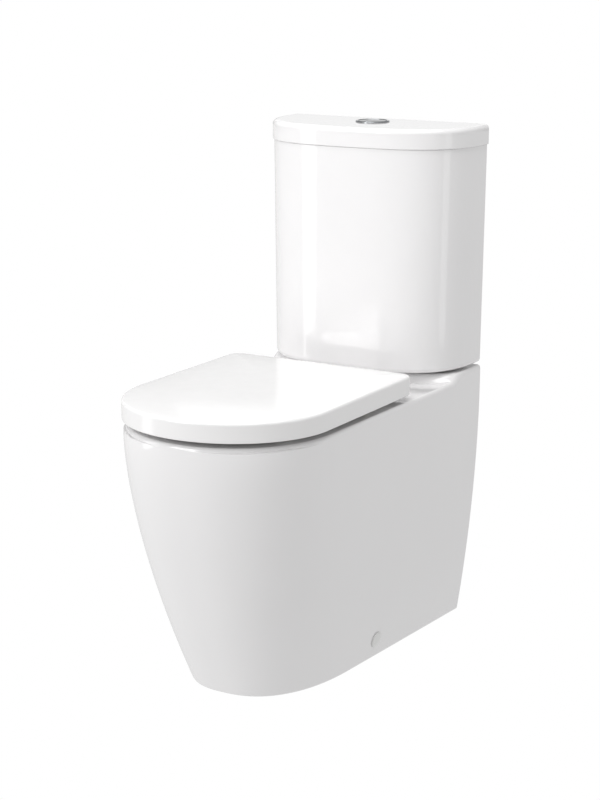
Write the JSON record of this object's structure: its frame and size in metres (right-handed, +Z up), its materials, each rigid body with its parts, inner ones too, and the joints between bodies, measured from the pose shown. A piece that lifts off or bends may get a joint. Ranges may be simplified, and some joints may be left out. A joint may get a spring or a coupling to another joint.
{
  "type": "close coupled toilet",
  "caption": "Skirted floor-standing toilet pan against a wall with a D-shaped cistern on it, a wrap-over seat and lid, dual flush buttons, and flush and fill valves inside.",
  "frame": {"origin": "on the floor, midway between the left and right sides and midway between the wall and the front of the seat lid", "axes": "+Z up, +Y towards the wall behind the toilet, +X to the right of someone facing the toilet"},
  "size_m": [0.365, 0.65, 0.8329],
  "materials": {
    "ceramic": "glazed white vitreous china",
    "seat_plastic": "white moulded plastic, gloss",
    "cap_plastic": "white plastic",
    "chrome": "polished chrome plate",
    "steel": "zinc plated or stainless steel",
    "brass": "plain brass",
    "valve_white": "moulded plastic",
    "valve_grey": "moulded plastic",
    "valve_blue": "moulded plastic",
    "rubber": "moulded rubber",
    "clear_rubber": "translucent soft rubber"
  },
  "bodies": {
    "fixed": {"pan": "ceramic", "cistern": "ceramic", "outlet_sleeve": "rubber", "flush_valve_seal_washer": "rubber", "tank_gasket": "rubber", "fill_valve_seal_washer": "rubber", "flush_valve_base": "valve_white", "flush_valve_cage": "valve_white", "fill_valve_body": "valve_white", "flush_valve_back_nut": "valve_grey", "flush_valve_head": "valve_blue", "fill_valve_cap": "valve_blue", "fill_valve_lock_nut": "brass", "hinge_pillar_left": "chrome", "hinge_pin_left": "steel", "hinge_stud_left": "steel", "coupling_metal_washer_left": "steel", "bracket_screw_left": "steel", "floor_bracket_left": "steel", "floor_bolt_left": "steel", "hinge_nut_left": "valve_white", "coupling_bolt_left": "brass", "coupling_wing_nut_left": "brass", "coupling_rubber_washer_left": "rubber", "fixing_cap_left": "cap_plastic", "hinge_pillar_right": "chrome", "hinge_pin_right": "steel", "hinge_stud_right": "steel", "coupling_metal_washer_right": "steel", "bracket_screw_right": "steel", "floor_bracket_right": "steel", "floor_bolt_right": "steel", "hinge_nut_right": "valve_white", "coupling_bolt_right": "brass", "coupling_wing_nut_right": "brass", "coupling_rubber_washer_right": "rubber", "fixing_cap_right": "cap_plastic"},
    "seat_lid": {"seat_lid": "seat_plastic", "lid_buffer_left": "clear_rubber", "lid_buffer_right": "clear_rubber", "hinge_damper_left": "valve_grey", "hinge_damper_right": "valve_grey"},
    "seat_ring": {"seat_ring": "seat_plastic", "ring_buffer_front_left": "clear_rubber", "ring_buffer_front_right": "clear_rubber", "ring_buffer_rear_left": "clear_rubber", "ring_buffer_rear_right": "clear_rubber"},
    "cistern_lid": {"cistern_lid": "ceramic", "button_bezel": "chrome", "bezel_lock_nut": "valve_white"},
    "full_flush_button": {"full_flush_button": "chrome"},
    "half_flush_button": {"half_flush_button": "chrome"},
    "flush_stem": {"flush_stem": "valve_grey", "flush_seal": "rubber", "half_flush_float": "valve_blue"},
    "fill_float": {"fill_valve_float": "valve_grey", "fill_valve_link": "valve_white"},
    "fill_arm": {"fill_valve_arm": "valve_blue"}
  },
  "joints": [
    {"name": "lid_hinge", "type": "hinge", "parent": "fixed", "child": "seat_lid", "pos_m": [0, 0.093, 0.445], "axis": [-1, 0, 0], "range_deg": [0, 97]},
    {"name": "ring_hinge", "type": "hinge", "parent": "fixed", "child": "seat_ring", "pos_m": [0, 0.093, 0.445], "axis": [-1, 0, 0], "range_deg": [0, 92]},
    {"name": "cistern_lid_lift", "type": "slide", "parent": "fixed", "child": "cistern_lid", "axis": [0, 0, 1], "range_m": [0, 0.12]},
    {"name": "full_flush_press", "type": "slide", "parent": "cistern_lid", "child": "full_flush_button", "axis": [0, 0, -1], "range_m": [0, 0.006], "stiffness_N_per_m": 600, "springref_m": -0.006},
    {"name": "half_flush_press", "type": "slide", "parent": "cistern_lid", "child": "half_flush_button", "axis": [0, 0, -1], "range_m": [0, 0.006], "stiffness_N_per_m": 600, "springref_m": -0.006},
    {"name": "flush_stem_lift", "type": "slide", "parent": "fixed", "child": "flush_stem", "axis": [0, 0, 1], "range_m": [0, 0.0185]},
    {"name": "fill_float_rise", "type": "slide", "parent": "fixed", "child": "fill_float", "axis": [0, 0, 1], "range_m": [0, 0.01]},
    {"name": "fill_arm_turn", "type": "hinge", "parent": "fixed", "child": "fill_arm", "pos_m": [-0.126, 0.247, 0.744], "axis": [0, -1, 0], "range_deg": [0, 21.5]}
  ],
  "couplings": [
    {"joint": "ring_hinge", "follows": "lid_hinge", "ratio": 0.94},
    {"joint": "flush_stem_lift", "follows": "full_flush_press", "ratio": 3},
    {"joint": "fill_arm_turn", "follows": "fill_float_rise", "rad_per_m": 37.04}
  ]
}
